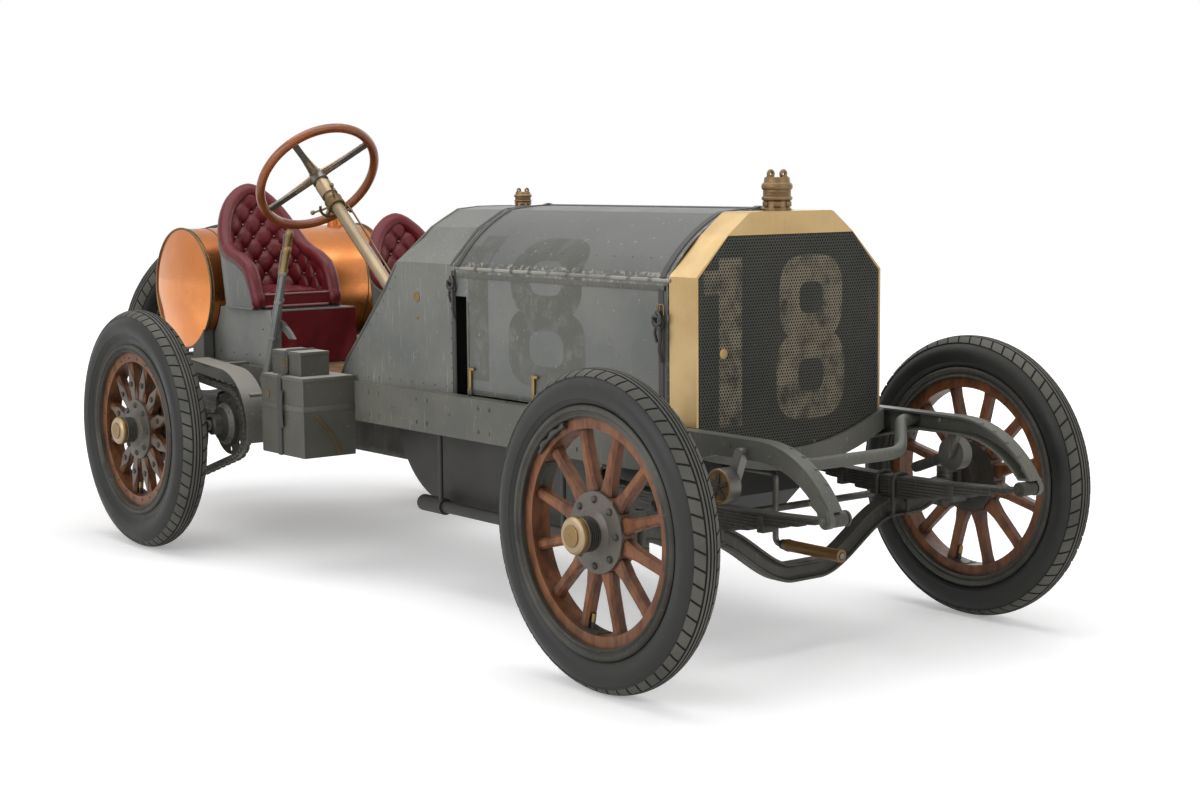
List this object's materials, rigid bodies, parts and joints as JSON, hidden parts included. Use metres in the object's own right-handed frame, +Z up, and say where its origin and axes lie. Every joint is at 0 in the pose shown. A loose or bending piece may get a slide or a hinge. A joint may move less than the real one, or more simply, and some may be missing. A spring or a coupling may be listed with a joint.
{
  "type": "open two-seat racing car",
  "caption": "Open racing car of the early motoring age: wooden spoked wheels, chain drive, brass radiator, bucket seats and a copper fuel tank behind.",
  "frame": {"origin": "on the ground under the middle of the car's box", "axes": "+X forward, +Y to the driver's left, +Z up"},
  "size_m": [4.164, 1.662, 1.5462],
  "materials": {
    "grey_paint": "worn satin grey-green",
    "frame_paint": "worn satin dark grey",
    "steel": "oiled dull steel",
    "iron": "dull cast",
    "brass": "aged satin",
    "copper": "polished copper",
    "grille": "dark mesh",
    "wood_wheel": "red-brown varnish",
    "wood_rim": "polished varnish",
    "wood_floor": "bare boards",
    "tyre": "dull grey-black",
    "leather": "oxblood, buttoned"
  },
  "bodies": {
    "chassis": {"frame_rails": "frame_paint", "springs": "iron", "front_axle": "iron", "rear_axle": "iron", "radiator_shell": "brass", "radiator_core": "grille", "filler_caps": "brass", "hood_top": "grey_paint", "cowl": "grey_paint", "dash_board": "wood_floor", "cross_members": "frame_paint", "engine_block": "iron", "under_pan": "frame_paint", "starting_crank": "steel", "exhaust_pipe": "steel", "gearbox": "iron", "chains": "steel", "floor_boards": "wood_floor", "seat_pedestal": "grey_paint", "driver_seat_shell": "grey_paint", "driver_seat_pad": "leather", "driver_seat_cushion": "leather", "passenger_seat_shell": "grey_paint", "passenger_seat_pad": "leather", "passenger_seat_cushion": "leather", "seat_apron": "leather", "fuel_tank": "copper", "tank_saddles": "frame_paint", "spare_tyre": "tyre", "spare_carrier": "frame_paint", "tool_boxes": "grey_paint", "levers": "steel", "chain_guards": "grey_paint", "shock_absorbers": "steel", "steering_column": "brass", "pedals": "iron"},
    "knuckle_right": {"knuckle_right": "iron"},
    "knuckle_left": {"knuckle_left": "iron"},
    "tie_rod": {"tie_rod": "steel"},
    "steering_wheel": {"steering_spider": "steel", "steering_rim": "wood_rim"},
    "hood_side_right": {"hood_side_right": "grey_paint"},
    "hood_side_left": {"hood_side_left": "grey_paint"},
    "chain_sprocket_right": {"chain_sprocket_right": "steel"},
    "chain_sprocket_left": {"chain_sprocket_left": "steel"},
    "wheel_front_right": {"tyre_front_right": "tyre", "wheel_front_right": "wood_wheel", "hub_front_right": "steel"},
    "wheel_front_left": {"tyre_front_left": "tyre", "wheel_front_left": "wood_wheel", "hub_front_left": "steel"},
    "wheel_rear_right": {"tyre_rear_right": "tyre", "wheel_rear_right": "wood_wheel", "hub_rear_right": "steel"},
    "wheel_rear_left": {"tyre_rear_left": "tyre", "wheel_rear_left": "wood_wheel", "hub_rear_left": "steel"}
  },
  "joints": [
    {"name": "steer_right", "type": "hinge", "parent": "chassis", "child": "knuckle_right", "pos_m": [1.555, -0.6, 0.415], "axis": [0, 0, 1], "range_deg": [-28, 28]},
    {"name": "steer_left", "type": "hinge", "parent": "chassis", "child": "knuckle_left", "pos_m": [1.555, 0.6, 0.415], "axis": [0, 0, 1], "range_deg": [-28, 28]},
    {"name": "tie_rod_swing", "type": "hinge", "parent": "knuckle_right", "child": "tie_rod", "pos_m": [1.37, -0.6, 0.38], "axis": [0, 0, 1], "range_deg": [-28, 28]},
    {"name": "steering_wheel_turn", "type": "hinge", "parent": "chassis", "child": "steering_wheel", "pos_m": [-0.737, -0.22, 1.364], "axis": [-0.776, 0, 0.6307], "range_deg": [-224, 224]},
    {"name": "hood_side_right_lift", "type": "hinge", "parent": "chassis", "child": "hood_side_right", "pos_m": [0.875, -0.358, 1.068], "axis": [-1, 0, 0], "range_deg": [0, 120]},
    {"name": "hood_side_left_lift", "type": "hinge", "parent": "chassis", "child": "hood_side_left", "pos_m": [0.875, 0.358, 1.068], "axis": [1, 0, 0], "range_deg": [0, 120]},
    {"name": "roll_front_right", "type": "hinge", "parent": "knuckle_right", "child": "wheel_front_right", "pos_m": [1.555, -0.725, 0.432], "axis": [0, 1, 0], "continuous": true},
    {"name": "roll_front_left", "type": "hinge", "parent": "knuckle_left", "child": "wheel_front_left", "pos_m": [1.555, 0.725, 0.432], "axis": [0, 1, 0], "continuous": true},
    {"name": "roll_rear_right", "type": "hinge", "parent": "chassis", "child": "wheel_rear_right", "pos_m": [-1.176, -0.725, 0.439], "axis": [0, 1, 0], "continuous": true},
    {"name": "roll_rear_left", "type": "hinge", "parent": "chassis", "child": "wheel_rear_left", "pos_m": [-1.176, 0.725, 0.439], "axis": [0, 1, 0], "continuous": true},
    {"name": "sprocket_turn_right", "type": "hinge", "parent": "chassis", "child": "chain_sprocket_right", "pos_m": [-0.805, -0.56, 0.48], "axis": [0, 1, 0], "continuous": true},
    {"name": "sprocket_turn_left", "type": "hinge", "parent": "chassis", "child": "chain_sprocket_left", "pos_m": [-0.805, 0.56, 0.48], "axis": [0, 1, 0], "continuous": true}
  ],
  "couplings": [
    {"joint": "steer_left", "follows": "steer_right", "ratio": 1},
    {"joint": "tie_rod_swing", "follows": "steer_right", "ratio": -1},
    {"joint": "steering_wheel_turn", "follows": "steer_right", "ratio": 8},
    {"joint": "sprocket_turn_right", "follows": "roll_rear_right", "ratio": 1.6},
    {"joint": "sprocket_turn_left", "follows": "roll_rear_left", "ratio": 1.6}
  ]
}
